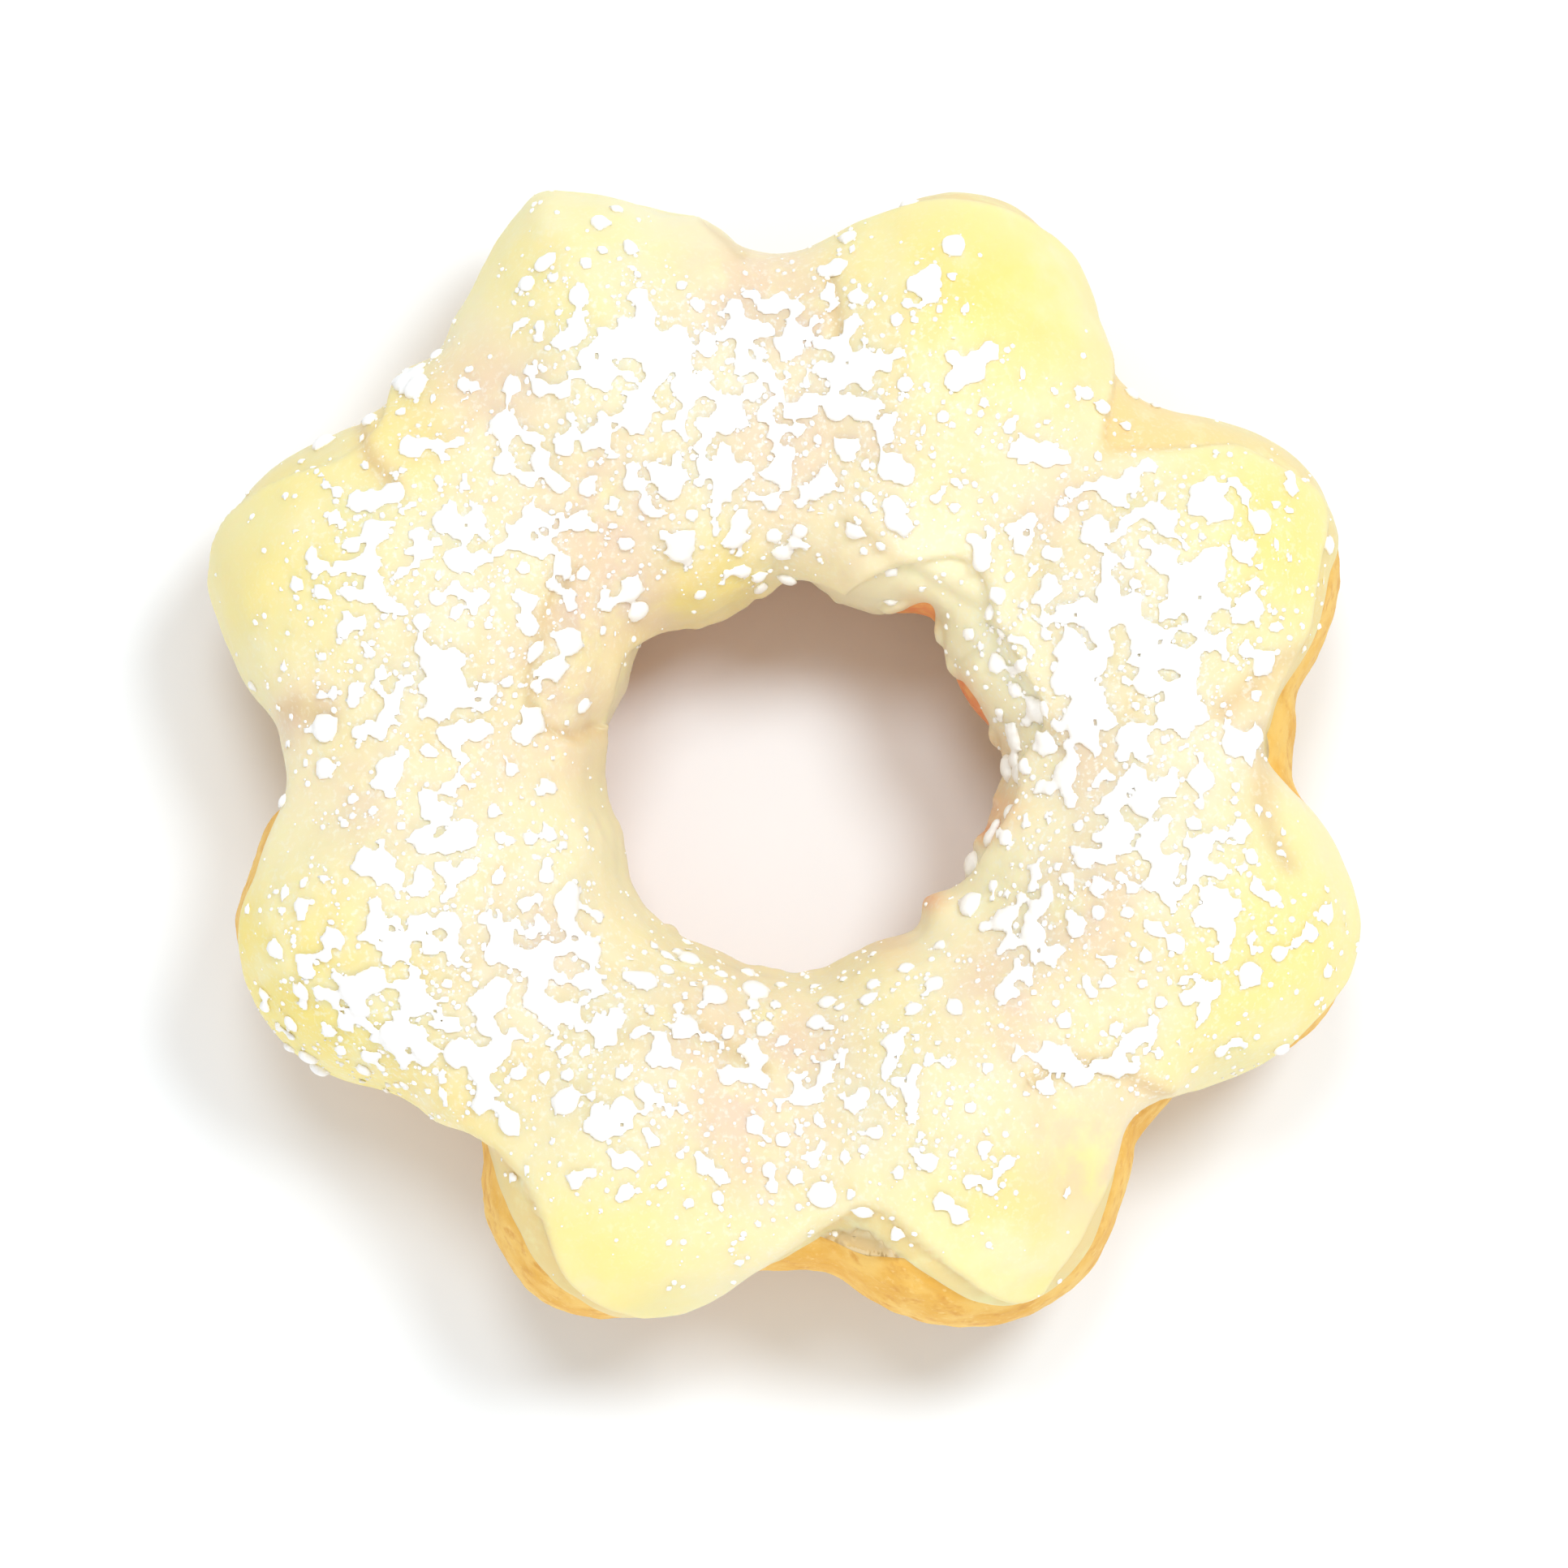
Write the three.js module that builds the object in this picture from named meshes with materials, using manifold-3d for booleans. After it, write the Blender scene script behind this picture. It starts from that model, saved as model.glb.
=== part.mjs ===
// A mochi doughnut: eight balls of dough fried together as a ring, dipped top down in lemon icing
// and dusted with icing sugar that lies in clumps. Lengths are in millimetres and +Z is up.
// The origin is under the middle of the ring, on the surface that the doughnut rests on.
import * as THREE from "three";
import { mergeVertices } from "three/addons/utils/BufferGeometryUtils.js";
import Module from "manifold-3d";

// Dough. Bearings are in degrees, anticlockwise from +X as seen from above. Each ball runs from its
// hole side to its reach, both measured from the ring's axis.
const BALLS = [
  { bearing: 24.5, reach: 41.2, hole: 13.8, girth: 22.6, height: 27.2 },
  { bearing: 67.5, reach: 41.4, hole: 12.4, girth: 23.0, height: 26.8 },
  { bearing: 114, reach: 41.0, hole: 12.0, girth: 22.4, height: 27.0 },
  { bearing: 157.5, reach: 41.2, hole: 12.8, girth: 23.0, height: 27.4 },
  { bearing: 203, reach: 40.4, hole: 14.0, girth: 22.6, height: 26.6 },
  { bearing: 249.5, reach: 40.8, hole: 15.0, girth: 21.8, height: 27.0 },
  { bearing: 294, reach: 42.0, hole: 15.2, girth: 23.4, height: 27.2 },
  { bearing: 338, reach: 41.5, hole: 15.4, girth: 22.8, height: 26.8 },
];
// Dough squeezed between the balls, a ring a little off the middle.
const COLLAR = { radius: 24.6, thickness: 17.4, height: 18.2, x: 0.6, y: -0.8 };
const WEB = { bearing: 135, spread: 9, fill: 2.2 }; // one crease where more of it is squeezed out
const FUSE = 0.8; // how softly the balls run into one another
const SETTLE = 1.2; // how far the underside of a ball flattens where it rests
const MID_HEIGHT = 13.5 - SETTLE; // the balls' middles, above the surface below
const CORE_RADIUS = 27.2; // circle inside the ring that every section is drawn around

// Icing
const COAT = 0.85; // thickness on the crown
const LIP = 0.35; // what the bead along the lower edge adds to it
const LIP_REACH = 26; // degrees of section over which the bead dies out
const NOSE_REACH = 6.5; // degrees of section over which the edge itself is rounded
const EDGE_THICKNESS = 0.3;
const CLEARANCE = 0.3; // between the icing and the dough
// Where the icing stops on the outside: bearing, and degrees above the balls' middles.
const OUTER_EDGE = [
  [0, 30], [7, 8], [13, 21], [24, 0], [40, -5], [57, 8], [62, 0], [70, 24], [83, 11],
  [92, 0], [112, -12], [123, 0], [140, -6], [165, -9],
  [182, 10], [191, 20], [205, 14], [212, -8], [227, -10], [231, 28], [241, 36], [248, 14], [258, 0],
  [270, 20], [277, 36], [291, 29], [303, 16], [312, 27], [321, -5], [329, 17], [336, 0], [346, 14], [355, 18],
];
// The same around the hole.
const INNER_EDGE = [
  [0, -4], [20, 12], [33, 0], [47, 12], [60, -8], [84, 6],
  [105, -6], [150, -2], [190, -10], [230, 4], [255, -6],
  [272, 4], [295, -8], [312, 10], [325, -4], [345, 10],
];

// Sugar clumps, the largest that lie on the icing
const CLUMP_COUNT = 100;
const CLUMP_TRIES = 900; // places that are looked at for them
const CLUMP_WIDTH = { largest: 5.0, smallest: 1.6 };
const CLUMP_BREADTH = 0.8; // share of its width
const CLUMP_RISE = 0.26; // share of its width that a clump stands proud
const CLUMP_UNEVEN = [0.8, 1.2]; // its corners lie nearer to its middle, or further out
const CLUMP_SINK = 0.35; // how far its foot lies in the icing
const CLUMP_COVER = 0.15; // icing left under its foot
const CLUMP_GAP = 0.35; // bare icing left between clumps
const SUGAR_BAND = { radius: 25, spread: 8.5 }; // sugar falls thickest along the crown of the ring
const SUGAR_SECTION = [30, 160]; // degrees of section that the sugar reaches

// Facets
const DOUGH_STEPS = { around: 88, section: 18 };
const ICING_STEPS = { around: 88, flank: 4, crown: 6 };
const SHOULDERS = [52, 128]; // section angles between which the icing's rows lie level
const EDGE_CROWDING = 1.4; // above 1, the rows of a flank draw together near the icing's edge
const SECTION_LIMIT = 24; // no part of a section is further from the core circle
const HALVINGS = 30; // steps of the search along a ray

// Ratio whose powers step over a surface evenly and without a pattern
const PLASTIC = 1.324717957244746;

const radians = THREE.MathUtils.degToRad;
const fraction = (x) => x - Math.floor(x);

// Signed distance to an ellipsoid at the origin, close enough near its surface.
function ellipsoidDistance(p, axes) {
  const k0 = p.clone().divide(axes).length();
  const k1 = p.clone().divide(axes).divide(axes).length();
  return (k0 * (k0 - 1)) / k1;
}

function ballDistance(p, ball) {
  const bearing = radians(ball.bearing);
  const local = p.clone().applyAxisAngle(new THREE.Vector3(0, 0, 1), -bearing);
  local.x -= (ball.reach + ball.hole) / 2;
  const axes = new THREE.Vector3((ball.reach - ball.hole) / 2, ball.girth / 2, ball.height / 2);
  return ellipsoidDistance(local, axes);
}

// The web moves only the outer side of the collar.
function collarDistance(p) {
  const across = Math.hypot(p.x - COLLAR.x, p.y - COLLAR.y) - COLLAR.radius;
  const bearing = THREE.MathUtils.radToDeg(Math.atan2(p.y, p.x));
  const web = WEB.fill * Math.exp(-(((bearing - WEB.bearing) / WEB.spread) ** 2));
  const reached = across > 0 ? Math.max(0, across - web) : across;
  const flat = COLLAR.thickness / COLLAR.height;
  return Math.hypot(reached, p.z * flat) - COLLAR.thickness / 2;
}

// Distance to the fused dough, with z measured from the balls' middles.
function doughDistance(p) {
  const distances = [...BALLS.map((ball) => ballDistance(p, ball)), collarDistance(p)];
  const sum = distances.reduce((total, d) => total + Math.exp(-d / FUSE), 0);
  return -FUSE * Math.log(sum);
}

// The point on the dough, or on a skin that far outside it, along one ray of one section.
// The section angle is 0 outwards, 90 upwards and 180 towards the hole.
function skinPoint(bearing, angle, offset) {
  const a = radians(bearing);
  const s = radians(angle);
  const ray = new THREE.Vector3(Math.cos(a) * Math.cos(s), Math.sin(a) * Math.cos(s), Math.sin(s));
  const core = new THREE.Vector3(Math.cos(a), Math.sin(a), 0).multiplyScalar(CORE_RADIUS);
  let inside = 0;
  let outside = SECTION_LIMIT;
  for (let i = 0; i < HALVINGS; i++) {
    const middle = (inside + outside) / 2;
    const distance = doughDistance(core.clone().addScaledVector(ray, middle));
    if (distance < offset) inside = middle;
    else outside = middle;
  }
  return core.addScaledVector(ray, inside);
}

function skinNormal(p) {
  const step = 0.05;
  const slope = (axis) => {
    const ahead = p.clone().addScaledVector(axis, step);
    const behind = p.clone().addScaledVector(axis, -step);
    return doughDistance(ahead) - doughDistance(behind);
  };
  const x = slope(new THREE.Vector3(1, 0, 0));
  const y = slope(new THREE.Vector3(0, 1, 0));
  const z = slope(new THREE.Vector3(0, 0, 1));
  return new THREE.Vector3(x, y, z).normalize();
}

// A smooth value between the control points of a closed table of [bearing, value].
function aroundRing(table, bearing) {
  const at = fraction(bearing / 360) * 360;
  let next = table.findIndex(([b]) => b > at);
  if (next < 0) next = table.length;
  const [b0, v0] = table[next - 1];
  const [b1, v1] = next < table.length ? table[next] : [table[0][0] + 360, table[0][1]];
  return THREE.MathUtils.lerp(v0, v1, THREE.MathUtils.smoothstep(at, b0, b1));
}

// Closed surface through equal loops of points, one for each step around the ring.
function ringGeometry(loops) {
  const around = loops.length;
  const section = loops[0].length;
  const index = [];
  for (let i = 0; i < around; i++) {
    for (let j = 0; j < section; j++) {
      const a = i * section + j;
      const b = ((i + 1) % around) * section + j;
      const c = ((i + 1) % around) * section + ((j + 1) % section);
      const d = i * section + ((j + 1) % section);
      index.push(a, b, c, a, c, d);
    }
  }
  return new THREE.BufferGeometry().setFromPoints(loops.flat()).setIndex(index);
}

function loopsAround(steps, sectionAt) {
  return Array.from({ length: steps }, (_, i) => sectionAt((360 * i) / steps));
}

// The fused balls, flat where they rest.
function doughGeometry() {
  const { around, section } = DOUGH_STEPS;
  const loops = loopsAround(around, (bearing) =>
    Array.from({ length: section }, (_, j) => {
      const p = skinPoint(bearing, (360 * j) / section, 0);
      p.z = Math.max(p.z + MID_HEIGHT, 0);
      return p;
    }),
  );
  return ringGeometry(loops);
}

// Thickness of the icing at an angle of the section, with a bead along both edges.
function coatThickness(angle, outer, inner) {
  const fromEdge = Math.min(angle - outer, inner - angle);
  const nose = Math.min(1, fromEdge / NOSE_REACH);
  const bead = LIP * Math.max(0, 1 - fromEdge / LIP_REACH);
  return EDGE_THICKNESS + (COAT - EDGE_THICKNESS + bead) * Math.sqrt(1 - (1 - nose) ** 2);
}

// Section angles of the icing's two edges.
function icingEdges(bearing) {
  return [aroundRing(OUTER_EDGE, bearing), 180 - aroundRing(INNER_EDGE, bearing)];
}

function icingPoint(bearing, angle) {
  const thickness = coatThickness(angle, ...icingEdges(bearing));
  return skinPoint(bearing, angle, CLEARANCE + thickness);
}

// Section angles of the icing's rows: steps from each edge up to the shoulder, and fixed ones over the crown.
function icingAngles(bearing) {
  const [outer, inner] = icingEdges(bearing);
  const rows = ICING_STEPS.flank;
  const flank = (edge, shoulder) =>
    Array.from({ length: rows }, (_, j) => THREE.MathUtils.lerp(edge, shoulder, (j / rows) ** EDGE_CROWDING));
  const crown = Array.from({ length: ICING_STEPS.crown }, (_, j) =>
    THREE.MathUtils.lerp(...SHOULDERS, j / (ICING_STEPS.crown - 1)),
  );
  return [...flank(outer, SHOULDERS[0]), ...crown, ...flank(inner, SHOULDERS[1]).reverse()];
}

// The icing: over the crown from its outer edge to its edge in the hole, and back along the dough.
function icingGeometry() {
  const loops = loopsAround(ICING_STEPS.around, (bearing) => {
    const angles = icingAngles(bearing);
    const top = angles.map((angle) => icingPoint(bearing, angle));
    const under = angles.map((angle) => skinPoint(bearing, angle, CLEARANCE)).reverse();
    return [...top, ...under];
  });
  return ringGeometry(loops).translate(0, 0, MID_HEIGHT);
}

// Even, patternless spread of the clumps, largest first: steps of the plastic number, thinned out away
// from the crown. A clump that would crowd another one, or reach the dough in a crease, is left out.
function sugarClumps() {
  const clumps = [];
  for (let n = 1; n < CLUMP_TRIES && clumps.length < CLUMP_COUNT; n++) {
    const bearing = 360 * fraction(n / PLASTIC);
    const angle = THREE.MathUtils.lerp(...SUGAR_SECTION, fraction(n / PLASTIC ** 2));
    const place = icingPoint(bearing, angle);
    const offBand = (Math.hypot(place.x, place.y) - SUGAR_BAND.radius) / SUGAR_BAND.spread;
    if (fraction(n / PLASTIC ** 3) > Math.exp(-(offBand ** 2))) continue;

    const shrink = (CLUMP_WIDTH.smallest / CLUMP_WIDTH.largest) ** (clumps.length / CLUMP_COUNT);
    const width = CLUMP_WIDTH.largest * shrink;
    const apart = (other) => ((other.width + width) / 2) * CLUMP_UNEVEN[1] + CLUMP_GAP;
    if (clumps.some((other) => other.place.distanceTo(place) < apart(other))) continue;

    const clump = { place, normal: skinNormal(place), width, number: n };
    const points = clumpPoints(clump);
    if (points.some((p) => doughDistance(p) < CLEARANCE + CLUMP_COVER)) continue;
    clumps.push(clump);
  }
  return clumps;
}

const clumpShape = mergeVertices(
  new THREE.IcosahedronGeometry(1, 0).deleteAttribute("normal").deleteAttribute("uv"),
);

// Corners of one low, uneven clump of sugar with its foot in the icing.
function clumpPoints({ place, normal, width, number }) {
  const rise = width * CLUMP_RISE;
  const size = new THREE.Vector3(width, width * CLUMP_BREADTH, rise + CLUMP_SINK).divideScalar(2);
  const tilt = new THREE.Quaternion().setFromUnitVectors(new THREE.Vector3(0, 0, 1), normal);
  const middle = place.clone().addScaledVector(normal, (rise - CLUMP_SINK) / 2);
  const corners = clumpShape.getAttribute("position");
  return Array.from({ length: corners.count }, (_, i) => {
    const uneven = THREE.MathUtils.lerp(...CLUMP_UNEVEN, fraction((number * corners.count + i) / PLASTIC));
    const corner = new THREE.Vector3().fromBufferAttribute(corners, i);
    corner.multiply(new THREE.Vector3(uneven, uneven, 1)).multiply(size);
    corner.applyAxisAngle(new THREE.Vector3(0, 0, 1), number).applyQuaternion(tilt);
    return corner.add(middle);
  });
}

function clumpGeometry(clump) {
  const geometry = new THREE.BufferGeometry().setFromPoints(clumpPoints(clump));
  return geometry.setIndex(clumpShape.index).translate(0, 0, MID_HEIGHT);
}

// Joins closed geometries into one solid.
function fused(geometries) {
  const solids = geometries.map(
    (geometry) =>
      new wasm.Manifold(
        new wasm.Mesh({
          numProp: 3,
          vertProperties: new Float32Array(geometry.getAttribute("position").array),
          triVerts: new Uint32Array(geometry.index.array),
        }),
      ),
  );
  const { numProp, vertProperties, triVerts } = solids.reduce((whole, piece) => whole.add(piece)).getMesh();
  const points = new THREE.InterleavedBuffer(vertProperties, numProp);
  const geometry = new THREE.BufferGeometry();
  geometry.setAttribute("position", new THREE.InterleavedBufferAttribute(points, 3, 0));
  return geometry.setIndex(new THREE.BufferAttribute(triVerts, 1));
}

const wasm = await Module();
wasm.setup();

const crust = new THREE.MeshStandardMaterial({ color: 0xd9a04a, roughness: 0.75, metalness: 0 });
const lemonIcing = new THREE.MeshStandardMaterial({ color: 0xf6ea9c, roughness: 0.4, metalness: 0 });

const dough = new THREE.Mesh(doughGeometry(), crust);
dough.name = "dough";

const icing = new THREE.Mesh(fused([icingGeometry(), ...sugarClumps().map(clumpGeometry)]), lemonIcing);
icing.name = "icing";

const doughnut = new THREE.Group();
doughnut.name = "mochi_doughnut";
doughnut.add(dough, icing);

export default doughnut;
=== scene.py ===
# A mochi doughnut lying on a white table, seen almost straight from above.
import math

import bpy
import numpy as np
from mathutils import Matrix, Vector, kdtree, noise


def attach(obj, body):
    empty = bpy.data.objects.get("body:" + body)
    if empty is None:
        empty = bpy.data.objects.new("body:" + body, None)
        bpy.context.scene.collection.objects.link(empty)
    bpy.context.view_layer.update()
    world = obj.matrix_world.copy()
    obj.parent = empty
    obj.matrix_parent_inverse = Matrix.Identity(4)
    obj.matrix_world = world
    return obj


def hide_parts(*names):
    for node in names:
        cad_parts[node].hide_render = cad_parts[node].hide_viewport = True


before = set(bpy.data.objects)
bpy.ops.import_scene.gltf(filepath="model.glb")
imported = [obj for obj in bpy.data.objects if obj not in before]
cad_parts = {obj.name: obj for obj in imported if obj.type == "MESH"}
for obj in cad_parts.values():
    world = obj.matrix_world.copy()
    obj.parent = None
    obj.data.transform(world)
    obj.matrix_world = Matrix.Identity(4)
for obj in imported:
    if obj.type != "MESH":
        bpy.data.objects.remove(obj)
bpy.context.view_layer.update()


# Dough
# Eight balls of mochi dough set side by side as a ring, with a collar of dough squeezed between them.
# Frying fuses and puffs them up, and each one flattens a little where it rests.
MM = 0.001
BALL_MIDDLE = 12.3 * MM
# Bearing in degrees, then the hole side and the reach from the ring's axis, the girth and the height.
BALLS = [
    (24.5, 13.8, 41.2, 22.6, 27.2),
    (67.5, 12.4, 41.4, 23.0, 26.8),
    (114, 12.0, 41.0, 22.4, 27.0),
    (157.5, 12.8, 41.2, 23.0, 27.4),
    (203, 14.0, 40.4, 22.6, 26.6),
    (249.5, 15.9, 40.8, 21.8, 27.0),
    (294, 16.0, 42.0, 23.4, 27.2),
    (338, 15.4, 41.5, 22.8, 26.8),
]
COLLAR_RADIUS = 24.6 * MM
COLLAR_THICKNESS = 18.6 * MM
COLLAR_HEIGHT = 18.2 * MM
COLLAR_MIDDLE = (1.0 * MM, -1.4 * MM, BALL_MIDDLE)
# A web of dough that fills one of the creases.
WEB_BEARING = 135
WEB_RADIUS = 26.8 * MM
WEB_SIZE = (17.4 * MM, 11 * MM, 17.6 * MM)
# The fused skin: the step of its mesh, how far it puffs up, and how flat its crowns are, where 2 is round.
SKIN_STEP = 0.48 * MM
PUFF = 0.65 * MM
FLATNESS = 2.4
# Where the ring's outside was drawn out or pushed in by hand: bearing, spread in degrees, and millimetres.
PULLS = [
    (5, 4, 0.6), (54, 6, -1.2), (64, 5, -0.5), (81, 4, -0.5), (96, 4, 1.4), (104, 4, -0.6),
    (113.5, 2.2, 0.8), (123, 5, -0.9), (168, 3, -0.4), (192, 4, -0.6), (207, 7, -1.0), (216, 4, -0.4),
    (230, 5, -1.6), (246, 4, 0.4), (258, 4, -0.7), (306, 4, -0.4), (324, 4, -0.7),
]
# A pull grows from nothing to its full amount between these radii, and between these heights.
PULLED_RADII = (28 * MM, 36 * MM)
PULLED_HEIGHTS = (1 * MM, 9 * MM)
# The hole's wall fried a brighter gold: not yet at the first radius, and fully at the second.
HOLE_WALL = (20 * MM, 15 * MM)
# Where the crust along the hole is painted redder, as painted warm shade: bearing, radius, size and strength.
WARM_SHADE_SPOTS = [
    (47, 13.8, 1.3, 0.8), (20, 12.8, 1.6, 1), (12, 13.4, 1.5, 0.9), (339, 15.2, 1.4, 0.7),
    (315, 15.3, 1.3, 0.8),
]
# The crust's colours, as on a screen, and the height below which it is browned.
LIGHT_GOLD = (246, 202, 106)
GOLD = (236, 180, 72)
MOTTLES = (226, 164, 66)
SPECKLES = (248, 210, 128)
BROWN = (222, 156, 76)
DARK_BROWN = (202, 130, 56)
WALL_GOLD = (250, 182, 108)
# Painted warm shade for the red spots along the hole.
WARM_SHADE_RED = (242, 134, 82)
BROWNED_BELOW = 6 * MM


def ring_point(bearing, radius, height):
    """A point in space from its bearing around the ring's axis, its distance from it and its height."""
    turn = math.radians(bearing)
    return Vector((radius * math.cos(turn), radius * math.sin(turn), height))


def only(piece):
    """Selects this piece alone."""
    bpy.ops.object.select_all(action="DESELECT")
    piece.select_set(True)
    bpy.context.view_layer.objects.active = piece


def modified(piece, kind, **settings):
    """Adds a modifier with these settings, and applies it."""
    only(piece)
    modifier = piece.modifiers.new(kind.lower(), kind)
    for name, value in settings.items():
        setattr(modifier, name, value)
    bpy.ops.object.modifier_apply(modifier=modifier.name)


def points_of(piece):
    points = np.empty(len(piece.data.vertices) * 3)
    piece.data.vertices.foreach_get("co", points)
    return points.reshape(-1, 3)


def ramp(share):
    """An eased rise from 0 to 1."""
    share = np.clip(share, 0, 1)
    return share * share * (3 - 2 * share)


def rise_between(values, limits):
    """An eased rise from 0 at the first limit to 1 at the second."""
    return ramp((values - limits[0]) / (limits[1] - limits[0]))


def polar_points(marks):
    """Points in plan from bearings in degrees and radii in millimetres."""
    turns = np.radians([mark[0] for mark in marks])
    radii = np.array([mark[1] for mark in marks]) * MM
    return np.stack([radii * np.cos(turns), radii * np.sin(turns)], axis=1)


def patch_strength(points, spots):
    """How strongly each point lies in the round patches: the strongest one counts."""
    strength = np.zeros(points.shape[:-1])
    for middle, spot in zip(polar_points(spots), spots):
        away = np.linalg.norm(points[..., :2] - middle, axis=-1) / (spot[2] * MM)
        strength = np.maximum(strength, spot[3] * np.exp(-(away**2)))
    return strength


def select_points(piece, chosen):
    """Opens the piece in edit mode with just these points selected."""
    only(piece)
    bpy.context.tool_settings.mesh_select_mode = (True, False, False)
    bpy.ops.object.mode_set(mode="EDIT")
    bpy.ops.mesh.select_all(action="DESELECT")
    bpy.ops.object.mode_set(mode="OBJECT")
    piece.data.vertices.foreach_set("select", chosen)
    bpy.ops.object.mode_set(mode="EDIT")


def rest_flat(piece):
    """Flattens what reaches below the table."""
    select_points(piece, points_of(piece)[:, 2] < 0)
    bpy.ops.transform.resize(value=(1, 1, 0), center_override=(0, 0, 0))
    bpy.ops.object.mode_set(mode="OBJECT")


def store(piece, name, values):
    """Keeps a value at each point of a piece, for its material to read."""
    piece.data.attributes.new(name, "FLOAT", "POINT").data.foreach_set("value", values)


bpy.ops.object.select_all(action="DESELECT")
lumps_of_dough = []
for ball_bearing, hole_side, reach, girth, height in BALLS:
    bpy.ops.mesh.primitive_uv_sphere_add(
        segments=96,
        ring_count=48,
        radius=MM / 2,
        location=ring_point(ball_bearing, (reach + hole_side) / 2 * MM, BALL_MIDDLE),
        rotation=(0, 0, math.radians(ball_bearing)),
        scale=(reach - hole_side, girth, height),
    )
    lumps_of_dough.append(bpy.context.object)
bpy.ops.mesh.primitive_uv_sphere_add(
    segments=64,
    ring_count=32,
    radius=0.5,
    location=ring_point(WEB_BEARING, WEB_RADIUS, BALL_MIDDLE),
    rotation=(0, 0, math.radians(WEB_BEARING)),
    scale=WEB_SIZE,
)
lumps_of_dough.append(bpy.context.object)
bpy.ops.mesh.primitive_torus_add(
    major_segments=192,
    minor_segments=64,
    major_radius=COLLAR_RADIUS,
    minor_radius=COLLAR_THICKNESS / 2,
    location=COLLAR_MIDDLE,
)
bpy.ops.transform.resize(value=(1, 1, COLLAR_HEIGHT / COLLAR_THICKNESS))
for lump in lumps_of_dough:
    lump.select_set(True)
bpy.ops.object.join()
bpy.ops.object.transform_apply(location=True, rotation=True, scale=True)
dough = bpy.context.object
dough.name = "dough_body"
modified(dough, "REMESH", mode="VOXEL", voxel_size=SKIN_STEP)
modified(dough, "SMOOTH", factor=0.5, iterations=64)
modified(dough, "DISPLACE", strength=PUFF, mid_level=0)
puffed = points_of(dough)
crown_height = puffed[:, 2].max() - BALL_MIDDLE
rise = np.clip((puffed[:, 2] - BALL_MIDDLE) / crown_height, 0, 1)
squarer = (1 - (1 - rise**2) ** (FLATNESS / 2)) ** (1 / FLATNESS)
puffed[:, 2] += (squarer - rise) * crown_height
puffed_bearings = np.degrees(np.arctan2(puffed[:, 1], puffed[:, 0]))
puffed_radii = np.hypot(puffed[:, 0], puffed[:, 1])
pulled = rise_between(puffed_radii, PULLED_RADII) * rise_between(puffed[:, 2], PULLED_HEIGHTS)
drawn_out = np.zeros(len(puffed))
for pull_bearing, spread, amount in PULLS:
    turned_away = (puffed_bearings - pull_bearing + 180) % 360 - 180
    drawn_out += amount * MM * pulled * np.exp(-((turned_away / spread) ** 2))
puffed[:, :2] *= (1 + drawn_out / puffed_radii)[:, None]
dough.data.vertices.foreach_set("co", puffed.ravel())
rest_flat(dough)
bpy.ops.object.shade_smooth()


def relief_texture(name, kind, size):
    texture = bpy.data.textures.new(name, kind)
    texture.noise_scale = size
    return texture


modified(
    dough,
    "DISPLACE",
    texture=relief_texture("crust_swells", "CLOUDS", 5 * MM),
    texture_coords="LOCAL",
    strength=0.35 * MM,
    mid_level=0.5,
)
modified(
    dough,
    "DISPLACE",
    texture=relief_texture("crust_pits", "STUCCI", 1.3 * MM),
    texture_coords="LOCAL",
    strength=0.2 * MM,
    mid_level=0.6,
)
rest_flat(dough)
crust_points = points_of(dough)
store(dough, "hole_wall", rise_between(np.hypot(crust_points[:, 0], crust_points[:, 1]), HOLE_WALL))
# Painted warm shade: where the crust along the hole is painted redder.
store(dough, "crust_warm_shade", patch_strength(crust_points, WARM_SHADE_SPOTS))


def add_node(tree, kind, inputs=None, **settings):
    """A node with these settings. An input is a value, or the output socket that feeds it."""
    node = tree.nodes.new(kind)
    for name, value in settings.items():
        setattr(node, name, value)
    for name, value in (inputs or {}).items():
        if isinstance(value, bpy.types.NodeSocket):
            tree.links.new(value, node.inputs[name])
        else:
            node.inputs[name].default_value = value
    return node


def linear(screen_colour):
    """A colour given as on a screen, from 0 to 255, as the light that it stands for."""
    return [((part / 255 + 0.055) / 1.055) ** 2.4 for part in screen_colour] + [1]


def blended(tree, mask, first, second):
    """The first colour where the mask is 0, and the second where it is 1, each a socket or as on a screen."""
    mix = add_node(tree, "ShaderNodeMix", {0: mask}, data_type="RGBA")
    for place, colour in ((6, first), (7, second)):
        if isinstance(colour, bpy.types.NodeSocket):
            tree.links.new(colour, mix.inputs[place])
        else:
            mix.inputs[place].default_value = linear(colour)
    return mix.outputs[2]


def new_material(name):
    material = bpy.data.materials.new(name)
    material.use_nodes = True
    material.node_tree.nodes.clear()
    return material, material.node_tree


def finished_material(tree, inputs):
    shader = add_node(tree, "ShaderNodeBsdfPrincipled", inputs)
    output = add_node(tree, "ShaderNodeOutputMaterial")
    tree.links.new(shader.outputs["BSDF"], output.inputs["Surface"])


def new_group(name, inputs, output, output_kind):
    """A node group with these inputs and one output, with its inner ends and the place on the surface."""
    group = bpy.data.node_groups.new(name, "ShaderNodeTree")
    for title, value in inputs.items():
        socket = group.interface.new_socket(title, in_out="INPUT", socket_type="NodeSocketFloat")
        socket.default_value = value
    group.interface.new_socket(output, in_out="OUTPUT", socket_type=output_kind)
    given = add_node(group, "NodeGroupInput").outputs
    place = add_node(group, "ShaderNodeTexCoord").outputs["Object"]
    return group, given, place


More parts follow.
